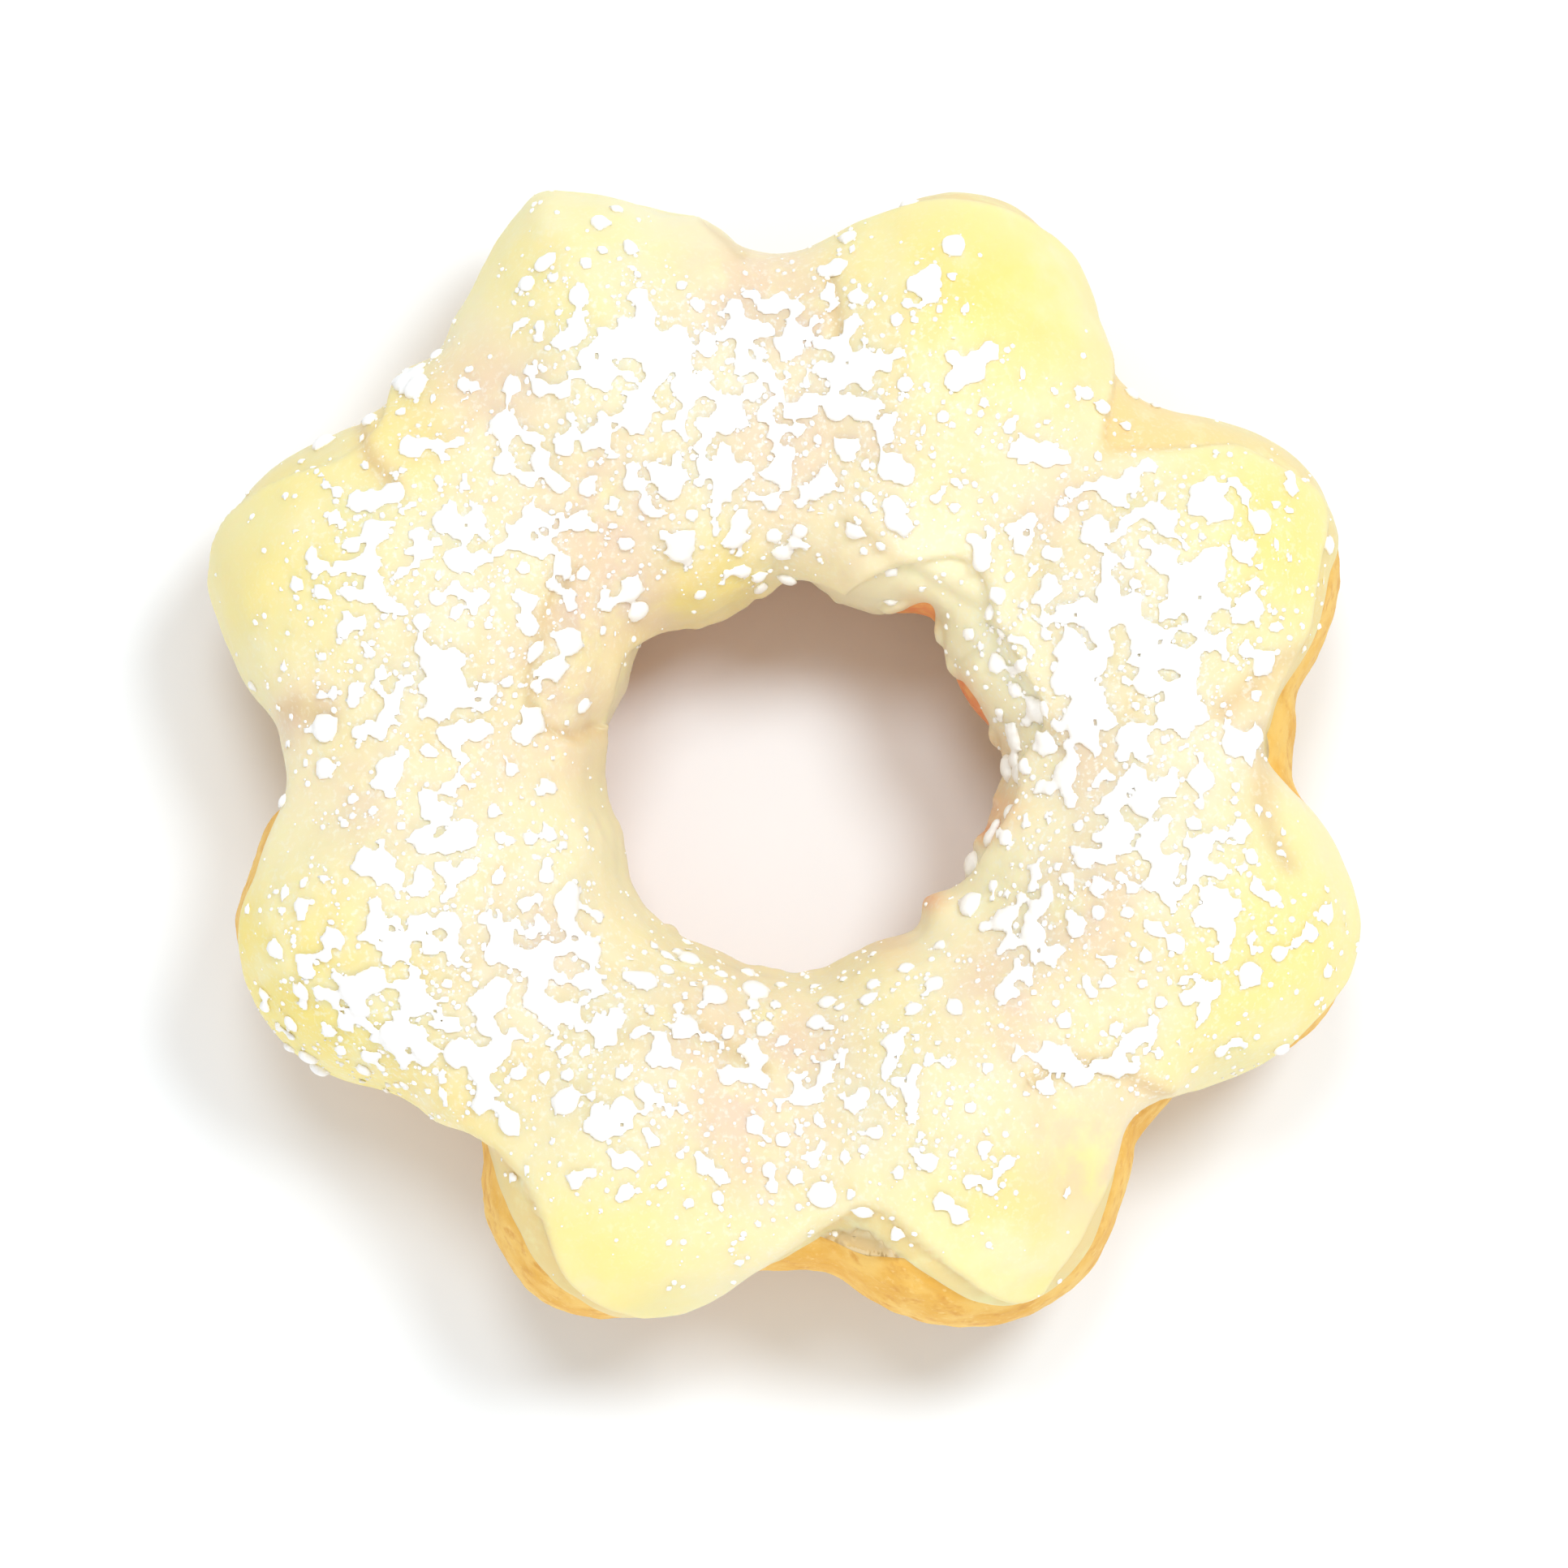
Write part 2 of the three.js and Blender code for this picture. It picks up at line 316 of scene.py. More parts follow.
def make_patches_group():
    """Soft uneven patches over the surface, as a mask from 0 to 1."""
    inputs = {"Scale": 200.0, "Low": 0.4, "High": 0.6, "Seed": 0.0}
    group, given, place = new_group("uneven_patches", inputs, "Mask", "NodeSocketFloat")
    clouds = add_node(
        group,
        "ShaderNodeTexNoise",
        {"Vector": place, "W": given["Seed"], "Scale": given["Scale"], "Detail": 4.0, "Roughness": 0.55},
        noise_dimensions="4D",
    )
    mask = add_node(
        group,
        "ShaderNodeMapRange",
        {"Value": clouds.outputs["Fac"], "From Min": given["Low"], "From Max": given["High"]},
        interpolation_type="SMOOTHSTEP",
    )
    add_node(group, "NodeGroupOutput", {"Mask": mask.outputs["Result"]})
    return group


def make_relief_group():
    """Fine unevenness of the surface, as its normals."""
    inputs = {"Scale": 1000.0, "Detail": 3.0, "Strength": 0.3, "Depth": 0.1 * MM}
    group, given, place = new_group("fine_relief", inputs, "Normal", "NodeSocketVector")
    grain = add_node(
        group,
        "ShaderNodeTexNoise",
        {"Vector": place, "Scale": given["Scale"], "Detail": given["Detail"]},
    )
    bump = add_node(
        group,
        "ShaderNodeBump",
        {"Height": grain.outputs["Fac"], "Strength": given["Strength"], "Distance": given["Depth"]},
    )
    add_node(group, "NodeGroupOutput", {"Normal": bump.outputs["Normal"]})
    return group


patches_group = make_patches_group()
relief_group = make_relief_group()


def patches(tree, scale, low, high, seed):
    """The shared patches: how many to a metre, the noise at which they start and are full, and a seed."""
    inputs = {"Scale": scale, "Low": low, "High": high, "Seed": seed}
    return add_node(tree, "ShaderNodeGroup", inputs, node_tree=patches_group).outputs["Mask"]


def fine_relief(tree, scale, detail, strength, depth):
    """The shared relief: features to a metre, layers of finer detail, strength and depth."""
    inputs = {"Scale": scale, "Detail": detail, "Strength": strength, "Depth": depth}
    return add_node(tree, "ShaderNodeGroup", inputs, node_tree=relief_group).outputs["Normal"]


def attribute(tree, name):
    return add_node(tree, "ShaderNodeAttribute", attribute_name=name).outputs["Fac"]


def weakened(tree, mask, share):
    """The mask times another mask or a plain share."""
    return add_node(tree, "ShaderNodeMath", {0: mask, 1: share}, operation="MULTIPLY").outputs["Value"]


def crust_material():
    """Golden fried skin: mottled, finely pitted, browner underneath, with painted warm shade in red spots
    along the hole.
    """
    material, tree = new_material("fried_crust")
    gold = blended(tree, patches(tree, 260, 0.38, 0.62, 1), LIGHT_GOLD, GOLD)
    mottled = blended(tree, patches(tree, 800, 0.5, 0.72, 5), gold, MOTTLES)
    speckled = blended(tree, patches(tree, 1900, 0.54, 0.78, 2), mottled, SPECKLES)
    place = add_node(tree, "ShaderNodeTexCoord").outputs["Object"]
    low_down = add_node(
        tree,
        "ShaderNodeMapRange",
        {
            "Value": add_node(tree, "ShaderNodeSeparateXYZ", {"Vector": place}).outputs["Z"],
            "From Min": BROWNED_BELOW,
            "From Max": 0.0,
        },
        interpolation_type="SMOOTHSTEP",
    )
    browned = blended(tree, patches(tree, 420, 0.3, 0.6, 3), BROWN, DARK_BROWN)
    outside = blended(tree, low_down.outputs["Result"], speckled, browned)
    fried = blended(tree, attribute(tree, "hole_wall"), outside, WALL_GOLD)
    # Painted warm shade: red spots along the hole.
    crust_shade_mask = weakened(tree, attribute(tree, "crust_warm_shade"), patches(tree, 900, 0.3, 0.6, 4))
    finished_material(
        tree,
        {
            "Base Color": blended(tree, crust_shade_mask, fried, WARM_SHADE_RED),
            "Roughness": 0.62,
            "Specular IOR Level": 0.35,
            "Normal": fine_relief(tree, 1500, 5, 0.5, 0.25 * MM),
        },
    )
    return material


dough.data.materials.append(crust_material())
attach(dough, "root")
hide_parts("dough")


# Icing
# Lemon icing that the ring was dipped in, crown down. It sets as a satin sheet that bridges the creases,
# with a rounded, wavy lip. Beyond the lip a thin film runs out over the crust here and there.
RING_MIDDLE = 27.2 * MM
# The sheet's steps around the ring, and its rows down each flank, over the crown and out of sight underneath.
ROUND_STEPS = 840
FLANK_ROWS = 36
CROWN_ROWS = 30
HIDDEN_ROWS = 7
# Places across the ring are angles about its middle line: 0 outwards, 90 up and 180 towards the hole.
# The rows lie evenly between the shoulders, and crowd together towards the edges by this power. The dough
# is measured at the even angles.
SHOULDERS = (52, 128)
EDGE_CROWDING = 1.5
EVEN_ANGLES = np.linspace(-24, 204, 153)
# How thick the coat and the film beyond it are, how thin they may get as a share of the film, and how
# deep the edge is sunk in the crust.
COAT = 0.8 * MM
FILM = 0.28 * MM
THINNEST = 0.6
SUNK = 0.45 * MM
# How far in from their edges the lip and the film round off, and the lip fades as a colour.
NOSE = 0.8 * MM
FILM_NOSE = 0.45 * MM
LIP_FADE = 0.9 * MM
# The bead along the lip: its height, its spread and where it starts.
BEAD = 0.2 * MM
BEAD_SPREAD = 1.3 * MM
BEAD_START = 0.3 * MM
# Drips along the hole: their height, their noise, how far in from the edge their middles lie and how far
# they spread from there, and how soon they round off.
DRIP = 0.6 * MM
DRIP_NOISE = [(1.5, 2.3 * MM)]
DRIP_LINE = 0.9 * MM
DRIP_REACH = 1.2 * MM
DRIP_NOSE = 0.7 * MM
# Icing that pools in the creases: how full they get, over how many degrees and in how many rounds it
# levels out, and the angles between which it starts on both sides.
POOLING = 0.75
POOL_SPREAD = 8
POOL_ROUNDS = 3
POOL_OUTSIDE = (15, 65)
POOL_INSIDE = (185, 135)
# Noise in layers, each with its height and the size of its features. The height is in degrees along the
# edges, in millimetres along the film and in metres over the sheet, where it starts this far from the edge.
EDGE_WAVES = [(1.5, 4 * MM), (0.7, 1.8 * MM)]
FILM_WAVES = [(0.4, 5 * MM)]
SWELLS = [(0.2 * MM, 7 * MM), (0.09 * MM, 2.6 * MM)]
RELIEF_START = 3 * MM
# Radii at which the waves along the two edges are read.
OUTER_RIM = 38 * MM
INNER_RIM = 15 * MM
# Degrees around the ring over which the edges, the dough's shape and the film's two runs are eased.
EDGE_EASE = 1.3
SKIN_EASE = 0.8
FILM_EASE = 1.5
INNER_FILM_EASE = 4
# Where the icing stops on the outside: bearing, and degrees above the balls' middles.
OUTER_EDGE = [
    (0, 56), (3, 50), (6, 45), (9, 38), (12, 33), (18, 31), (21, 17), (25, 0), (30, -4), (40, -6),
    (50, -2), (57, 4), (72, 6), (88, 2), (97, -4), (112, -12), (123, 4), (130, -4), (140, -6),
    (165, -9), (174, 0), (180, 16), (184, 36), (187, 41), (190, 37), (194, 33), (198, 29), (202, 21),
    (206, 10), (210, -4), (224, -6), (228, 8), (232, 40), (235, 47), (240, 43), (245, 36), (249, 32),
    (252, 25), (254, 16), (256, 6), (259, 0), (262, 2), (265, 11), (268, 28), (271, 41), (275, 54),
    (279.5, 63), (282.5, 53), (286, 45), (288, 36), (291, 30), (295, 26), (299, 28), (303, 31),
    (307, 37), (311, 44), (314, 45), (317, 38), (319, 14), (322, -4), (325, 8), (327, 21), (330, 26),
    (334, 24), (338, 20), (344, 20), (349, 25), (352, 31), (355, 39), (358, 51),
]
# The same around the hole.
INNER_EDGE = [
    (0, -4), (8, 8), (12, 16), (18, 19), (22, 16), (26, 4), (33, 2), (41, 8), (45, 20), (49, 20),
    (52, 4), (60, -8), (84, 6), (105, -6), (150, -2), (190, -10), (230, 4), (255, -6), (272, 4),
    (295, -8), (309, -2), (321, -2), (330, -2), (336, 14), (341, 16), (346, 4),
]
# How far the thin film runs out below the thick coat: bearing, and millimetres.
FILM_RUN = [
    (0, 0.6), (8, 2.2), (24, 2.5), (30, 8), (36, 12.5), (43, 12), (50, 6), (58, 3), (64, 5.5),
    (70, 7.2), (78, 6.5), (86, 3.5), (95, 1.5), (103, 2.5), (110, 1), (118, 2.5), (124, 4), (130, 3),
    (136, 4), (141, 10), (149, 12), (156, 8), (163, 3.5), (175, 1.5), (186, 1.4), (192, 1.4),
    (199, 0.6), (206, 0.6), (226, 0.4), (233, 2), (240, 3), (246, 2.4), (250, 1.2), (262, 2.2),
    (268, 1.5), (274, 0.5), (281, 2.4), (288, 1.8), (293, 0.5), (298, 2.6), (304, 2.2), (310, 0.6),
    (330, 0.6), (345, 0.8),
]
# The same film towards the hole.
INNER_FILM_RUN = [
    (0, 6), (5, 7.5), (20, 8), (35, 7.5), (50, 6.5), (62, 5), (75, 4), (90, 1), (110, 0.8), (135, 2),
    (145, 6), (160, 7), (172, 5.5), (182, 3), (200, 2.5), (215, 1.5), (240, 1), (270, 1), (300, 1.5),
    (320, 3), (335, 4),
]
# How much of the dough's tan shows through the film: bearing and share.
FILM_SHOW = [
    (0, 1), (25, 0.8), (75, 0.9), (105, 0.6), (125, 0.4), (160, 0.4), (185, 0.8), (205, 1), (255, 1),
    (265, 0.5), (273, 0.9), (286, 0.9), (292, 0.5), (300, 1),
]
# Painted light: how much paler the icing is painted on the slope towards the hole, which faces away from the
# lights: bearing and share, and the radii between which it turns so.
SLOPE_LIGHT = [
    (0, 0.8), (50, 0.8), (70, 0.4), (90, 0.1), (100, 0), (170, 0), (195, 0.3), (285, 0.4), (310, 0.8),
]
INSIDE = (22 * MM, 17 * MM)
# How much of the crown the sugar covers: bearing and share. It thins out to both sides of the middle radius.
SUGAR_FALL = [
    (0, 0.42), (15, 0.5), (27, 0.5), (38, 0.22), (55, 0.15), (66, 0.2), (75, 0.36), (90, 0.44),
    (105, 0.42), (118, 0.4), (127, 0.22), (137, 0.32), (147, 0.26), (160, 0.36), (172, 0.34),
    (187, 0.2), (198, 0.28), (212, 0.42), (228, 0.4), (243, 0.36), (258, 0.17), (283, 0.32),
    (300, 0.15), (320, 0.22), (345, 0.36),
]
SUGAR_MIDDLE = 23.7 * MM
# How far the sugar reaches outwards from that radius: bearing, and millimetres.
SUGAR_OUT = [
    (0, 7), (9, 8.5), (18, 11), (27, 11.5), (36, 9.5), (45, 7), (63, 7), (72, 9.5), (81, 8.5),
    (99, 6.5), (108, 10.5), (117, 12), (126, 8.5), (135, 10.5), (153, 10.5), (171, 10), (180, 8),
    (189, 9.5), (198, 12), (207, 13.5), (216, 12.5), (225, 10.5), (234, 6.5), (243, 8.5), (252, 9),
    (261, 10), (270, 9), (279, 7), (288, 9), (297, 12), (305, 6), (315, 8), (324, 12.5), (333, 13.5),
    (342, 12.5), (351, 7.5),
]
# The same towards the hole.
SUGAR_IN = [
    (0, 7), (27, 8.5), (45, 7), (63, 7), (81, 9.5), (117, 9.3), (130, 7.5), (150, 9), (171, 7),
    (200, 6.8), (220, 6.2), (240, 7.2), (300, 6.8), (350, 6.6),
]
# The power with which the sugar thins out, the most that it covers, how far it soaks the icing and darkens it
# with painted shade for the shadows among the clumps, to both sides of the middle radius, and the power of
# its share by which it tints the icing.
SUGAR_THINNING = 3
MOST_COVER = 0.9
SOAKED_SHADED_SPREAD = 8.4 * MM
SUGAR_TINT = 0.6
# Where more of it gathered, along a fold and in thick spots: bearing, radius, size and strength.
GATHERED = [
    (308, 28.4, 1.3, 0.5), (312.5, 29, 1.3, 0.6), (315.5, 30.4, 1.3, 0.6), (317, 32.2, 1.2, 0.6),
    (108, 29.5, 2.6, 0.4), (18, 29.5, 2.6, 0.3), (63, 18.5, 2, 0.3), (153, 32.5, 2, 0.3),
    (216, 32.5, 2.5, 0.3), (135, 35.5, 2, 0.3),
]
# Where no sugar fell or stayed.
SHELTERED = [(278, 34.5, 3, 1), (45, 37, 4, 1), (318, 36, 2.5, 0.8), (3, 34, 2.2, 1), (305, 32, 3, 0.7)]
# Folds in the sheet: how far it steps up on the left of the line, how deep the line is dented and how wide,
# in millimetres, then the line as bearings and radii.
FOLDS = [
    (0.55, 0.25, 0.65, [
        (73, 16.6), (60, 15.8), (53, 15.9), (44, 16.9), (35, 17.1), (19.4, 17), (7.5, 18.6),
        (1.7, 19.6),
    ]),
    (0.5, 0.32, 0.55, [
        (173.5, 14.2), (177, 15.5), (175.8, 17.2), (170.8, 18.2), (164.3, 18.6), (158.4, 18.6),
        (147.2, 19.3), (140, 19.5),
    ]),
    (0.45, 0.4, 0.55, [(95, 32.6), (96.2, 34), (98.2, 36.2)]),
    (0.15, 0.45, 0.55, [(82.5, 28), (83, 29.2), (84.6, 31.8)]),
    (0.25, 0.3, 0.75, [(10.7, 36), (9.4, 33.3), (6, 30.8), (4, 29.6)]),
    (0.05, 0.3, 0.75, [(346.5, 35), (349.4, 33.5), (353, 32.3), (357, 31.8), (361.7, 32)]),
    (0.8, 0.08, 0.7, [(306.5, 28.4), (311, 28.9), (314.2, 29.7), (316, 31.1), (317.6, 33.5)]),
    (0.1, 0.3, 0.65, [(249, 19.7), (254.8, 20.5), (260, 21.2), (266.5, 22.8)]),
    (0.05, 0.4, 0.8, [(175.3, 32.6), (176.6, 30.4)]),
    (0.6, 0.15, 0.8, [(137.6, 38), (141.9, 36), (145, 33.7), (146.2, 31.7)]),
]
# How sharp a fold's step is, how far it takes to sink back, and how far the fold fades beyond its ends.
FOLD_SHARPNESS = 2
FOLD_SINKING = 4 * MM
FOLD_FADE = 1.2 * MM
# Drops that ran together and stand proud of the sheet: bearing, radius, size and height in millimetres.
DROPS = [
    (137, 35, 4.2, 0.8), (47, 15.4, 2.2, 0.25), (60, 14.8, 1.8, 0.2), (86, 14.5, 2.2, 0.4),
    (316, 32, 3.5, 0.4), (272, 31.5, 3.5, 0.5), (228, 33, 3, 0.4), (96, 14, 2.4, 0.3),
    (200, 33, 4, 0.3), (110, 15, 2.5, 0.25), (33, 15.2, 1.9, 0.4), (22, 14.9, 1.8, 0.4),
    (11, 15.4, 1.8, 0.35), (315, 16, 1.5, 1.9),
]
# Where the dough's warm colour comes through the sheet: bearing, radius, size and strength.
PEACH = [
    (129, 30.9, 4, 0.8), (129, 20.8, 5, 1), (147, 17.6, 4, 1), (168, 16.5, 5, 0.8), (182, 17, 3.5, 0.7),
    (94, 30.4, 5, 0.8), (86, 28.8, 2.5, 1), (89, 20.5, 5, 0.8), (69, 15.2, 4, 0.7), (41, 25, 4, 0.6),
    (357, 19.2, 4, 1), (25, 15.5, 5, 0.6), (331, 23.6, 5, 0.8), (311, 23.8, 5, 0.8),
    (307, 34.2, 6, 0.7), (256, 20, 5, 0.9), (263, 25.3, 5, 1), (270, 21, 4, 0.9), (219, 21.5, 4, 0.7),
    (187, 27.5, 4, 0.6), (184, 20.8, 4, 0.6), (176, 31.8, 2, 1), (2, 33, 4, 0.6), (45, 36, 4, 0.5),
    (135, 16.5, 4, 1), (60, 16, 3, 0.8), (75, 20, 3.5, 0.8), (0, 18, 2.5, 0.9),
]
# Where the thin edge at the hole is painted orange, as painted warm shade for the crust beneath it, in the
# same terms.
BLUSH_WARM_SHADE = [
    (0, 15, 2, 0.3), (345, 15.5, 2.2, 0.5), (339, 15.5, 1.1, 0.8), (315, 16.2, 0.9, 0.9),
    (20, 13, 1.2, 0.6), (12, 13.6, 1.2, 0.5), (47, 13.8, 1.2, 0.4), (300, 15.8, 2, 0.2),
]
# Where the icing is the strongest yellow, in the same terms.
LEMON = [
    (67, 32, 9, 1), (207, 36, 7, 1), (140, 34, 5, 0.8), (24, 36, 7, 0.8), (298, 36, 6, 0.8),
    (251, 36, 6, 0.7), (335, 36, 8, 0.7), (160, 32, 5, 0.5), (212, 29, 5, 0.8), (228, 33, 5, 0.8),
    (216, 37, 6, 1), (223, 35, 5, 1), (118, 38, 5, 0.5), (150, 39, 5, 0.5), (165, 38, 6, 0.6),
    (200, 39, 5, 0.9), (108, 13.5, 3, 0.8), (122, 13, 3, 0.8), (140, 13, 2.2, 0.8), (255, 16.5, 4, 0.7),
    (290, 16.5, 4, 0.7), (322, 16.5, 3, 0.6),
]
# The icing's colours, as on a screen, and how strongly the dents are tinted with painted shade.
PALE_LEMON = (244, 232, 174)
PALE_CREAM = (244, 233, 191)
STRONG_LEMON = (247, 224, 130)
# Wetter icing between the sugar clumps, darkened with painted shade for the shadows among them.
SOAKED_SHADED_CREAM = (233, 219, 197)
SOAKED_SHADED_TAN = (226, 206, 172)
PEACH_TINT = (231, 206, 180)
# Painted shade for the folds' dents.
DENT_SHADE_TAN = (224, 196, 146)
DENT_SHADE_TINT = 0.7
FILM_TAN = (239, 210, 146)
INNER_FILM_CREAM = (240, 226, 188)
# Painted light on the slope towards the hole.
SLOPE_LIGHT_CREAM = (255, 245, 208)
# Painted warm shade at the thin edge by the hole.
BLUSH_SHADE_ORANGE = (238, 146, 84)
POWDER_WHITE = (250, 249, 244)
# How far the noise is shifted for each seed.
SEED_STRIDES = (17.3, 5.9, 11.1)


def around_ring(table, bearings):
    """Values at these bearings from a closed table of bearing and value."""
    marks = np.array(table, float)
    return np.interp(bearings, marks[:, 0], marks[:, 1], period=360)


def uneven(points, size, seed):
    """Noise from about -1 to 1 at these points, with features of that size."""
    shift = Vector([seed * stride for stride in SEED_STRIDES])
    values = [noise.noise(Vector(point) / size + shift) for point in points.reshape(-1, 3)]
    return np.array(values).reshape(points.shape[:-1])


def layered(points, layers, seed):
    """Layers of that noise added up, each with its height and the size of its features."""
    return sum(height * uneven(points, size, seed + layer) for layer, (height, size) in enumerate(layers))


def smoothed_around(values, degrees):
    """The values with their changes around the ring softened over that many degrees."""
    waves = np.arange(ROUND_STEPS // 2 + 1)
    soften = np.exp(-0.5 * (waves * math.radians(degrees)) ** 2)
    return np.fft.irfft((np.fft.rfft(values, axis=0).T * soften).T, ROUND_STEPS, axis=0)


def rounded(rise):
    """Profile of a bull nose: from 0 at its foot to 1 at its top."""
    return np.sqrt(1 - (1 - np.clip(rise, 0, 1)) ** 2)


def sugar_share(points):
    """How much of the surface the sugar covers, from 0 to 1."""
    bearings = np.degrees(np.arctan2(points[..., 1], points[..., 0])) % 360
    outward = (np.hypot(points[..., 0], points[..., 1]) - SUGAR_MIDDLE) / MM
    outside = outward / around_ring(SUGAR_OUT, bearings)
    inside = -outward / around_ring(SUGAR_IN, bearings)
    off = np.where(outward > 0, outside, inside)
    fallen = np.exp(-(off**SUGAR_THINNING)) * around_ring(SUGAR_FALL, bearings)
    fallen = fallen + patch_strength(points, GATHERED)
    return np.minimum(fallen, MOST_COVER) * (1 - patch_strength(points, SHELTERED))


def fold_shape(points, rise, dent, width, marks):
    """Height that a fold adds at each point, and how deep in its dent the point lies, from 0 to 1, which the
    icing's colour uses for painted shade.
    """
    line = polar_points(marks)
    nearest = np.full(points.shape[:-1], np.inf)
    beside = np.zeros(points.shape[:-1])
    beyond = np.zeros(points.shape[:-1])
    for step in range(len(line) - 1):
        length = np.linalg.norm(line[step + 1] - line[step])
        along = (line[step + 1] - line[step]) / length
        off = points[..., :2] - line[step]
        travelled = off @ along
        left = along[0] * off[..., 1] - along[1] * off[..., 0]
        over = travelled - np.clip(travelled, 0, length)
        distance = np.hypot(left, over)
        closer = distance < nearest
        nearest = np.where(closer, distance, nearest)
        beside = np.where(closer, np.sign(left) * distance, beside)
        ending = ((step == 0) & (over < 0)) | ((step == len(line) - 2) & (over > 0))
        beyond = np.where(closer, np.where(ending, np.abs(over), 0), beyond)
    fade = np.exp(-((beyond / FOLD_FADE) ** 2))
    away = beside / (width * MM)
    stepped = 0.5 + 0.5 * np.tanh(FOLD_SHARPNESS * away)
    step_up = rise * MM * stepped * np.exp(-np.maximum(beside, 0) / FOLD_SINKING)
    dent_shade = np.exp(-(away**2)) * fade
    return step_up * fade - dent * MM * dent_shade, dent_shade


ring_bearings = np.arange(ROUND_STEPS) * 360 / ROUND_STEPS
ring_turns = np.radians(ring_bearings)
outwards = np.stack([np.cos(ring_turns), np.sin(ring_turns), np.zeros(ROUND_STEPS)], axis=1)


def ragged_edge(table, radius, seed):
    """An edge line around the ring, in section angles, with small waves along it."""
    waves = layered(outwards * radius, EDGE_WAVES, seed)
    return smoothed_around(around_ring(table, ring_bearings), EDGE_EASE) + waves


outer_edge = ragged_edge(OUTER_EDGE, OUTER_RIM, 1)
inner_edge = 180 - ragged_edge(INNER_EDGE, INNER_RIM, 31)
crowded = (np.arange(FLANK_ROWS + 1) / FLANK_ROWS) ** EDGE_CROWDING
outer_rows = outer_edge[:, None] + (SHOULDERS[0] - outer_edge)[:, None] * crowded[:-1]
crown_rows = np.tile(np.linspace(*SHOULDERS, CROWN_ROWS, endpoint=False), (ROUND_STEPS, 1))
inner_rows = inner_edge[:, None] + (SHOULDERS[1] - inner_edge)[:, None] * crowded[::-1]
section = np.concatenate([outer_rows, crown_rows, inner_rows], axis=1)
hidden_share = (np.arange(HIDDEN_ROWS) + 1) / (HIDDEN_ROWS + 1)
hidden_section = inner_edge[:, None] + (outer_edge - inner_edge)[:, None] * hidden_share


def dough_depth(sections):
    """How far the dough's skin lies from the ring's middle line, along each of these section angles."""
    depth = np.empty((ROUND_STEPS, len(sections)))
    for step in range(ROUND_STEPS):
        out = Vector(outwards[step])
        start = out * RING_MIDDLE + Vector((0, 0, BALL_MIDDLE))
        for row, angle in enumerate(np.radians(sections)):
            place = dough.ray_cast(start, out * math.cos(angle) + Vector((0, 0, math.sin(angle))))[1]
            depth[step, row] = (place - start).length
    return depth


def at_sections(values, sections):
    """Values measured at the even angles, read at these section angles."""
    return np.array([np.interp(sections[step], EVEN_ANGLES, values[step]) for step in range(ROUND_STEPS)])


def section_points(sections, depth):
    """Points in space from section angles and distances from the ring's middle line."""
    angle = np.radians(sections)
    points = outwards[:, None, :] * (RING_MIDDLE + depth * np.cos(angle))[:, :, None]
    points[:, :, 2] = BALL_MIDDLE + depth * np.sin(angle)
    return points


def distance_from(edge):
    """How far each point of the dough's skin lies from an edge line."""
    line = section_points(edge[:, None], at_sections(even_depth, edge[:, None]))[:, 0]
    tree = kdtree.KDTree(ROUND_STEPS)
    for step, point in enumerate(line):
        tree.insert(point, step)
    tree.balance()
    return np.array([[tree.find(point)[2] for point in row] for row in skin])


bpy.context.view_layer.update()
even_depth = smoothed_around(dough_depth(EVEN_ANGLES), SKIN_EASE)
level = even_depth
for levelling in range(POOL_ROUNDS):
    level = smoothed_around(np.maximum(level, even_depth), POOL_SPREAD)
bridged = rise_between(EVEN_ANGLES, POOL_OUTSIDE) * rise_between(EVEN_ANGLES, POOL_INSIDE)
pool = at_sections(POOLING * bridged * np.maximum(level - even_depth, 0), section)
skin_depth = at_sections(even_depth, section)
skin = section_points(section, skin_depth)
from_outer = distance_from(outer_edge)
from_inner = distance_from(inner_edge)
from_edge = np.minimum(from_outer, from_inner)
outer_run = smoothed_around(around_ring(FILM_RUN, ring_bearings), FILM_EASE)[:, None]
inner_run = smoothed_around(around_ring(INNER_FILM_RUN, ring_bearings), INNER_FILM_EASE)[:, None]
film_run = np.where(from_outer < from_inner, outer_run, inner_run) + layered(skin, FILM_WAVES, 3)
from_lip = from_edge - np.maximum(film_run, 0) * MM
folds = [fold_shape(skin, *fold) for fold in FOLDS]
drops = patch_strength(skin, DROPS) * MM
relief = layered(skin, SWELLS, 4) + pool + drops + sum(height for height, dent_shade in folds)
bead = BEAD * np.exp(-(((from_lip - NOSE) / BEAD_SPREAD) ** 2)) * ramp(from_lip / BEAD_START)
drips = ramp(layered(skin, DRIP_NOISE, 41)) * np.exp(-(((from_inner - DRIP_LINE) / DRIP_REACH) ** 2))
film_profile = rounded(from_edge / FILM_NOSE)
thickness = FILM * film_profile + bead
thickness += rounded(from_lip / NOSE) * (COAT - FILM) + ramp(from_edge / RELIEF_START) * relief
thickness += DRIP * drips * rounded(from_edge / DRIP_NOSE)
thickness = np.maximum(thickness, THINNEST * FILM * film_profile)
thickness[:, [0, -1]] = -SUNK
hidden = section_points(hidden_section, at_sections(even_depth, hidden_section) - SUNK)
icing_points = np.concatenate([section_points(section, skin_depth + thickness), hidden], axis=1)

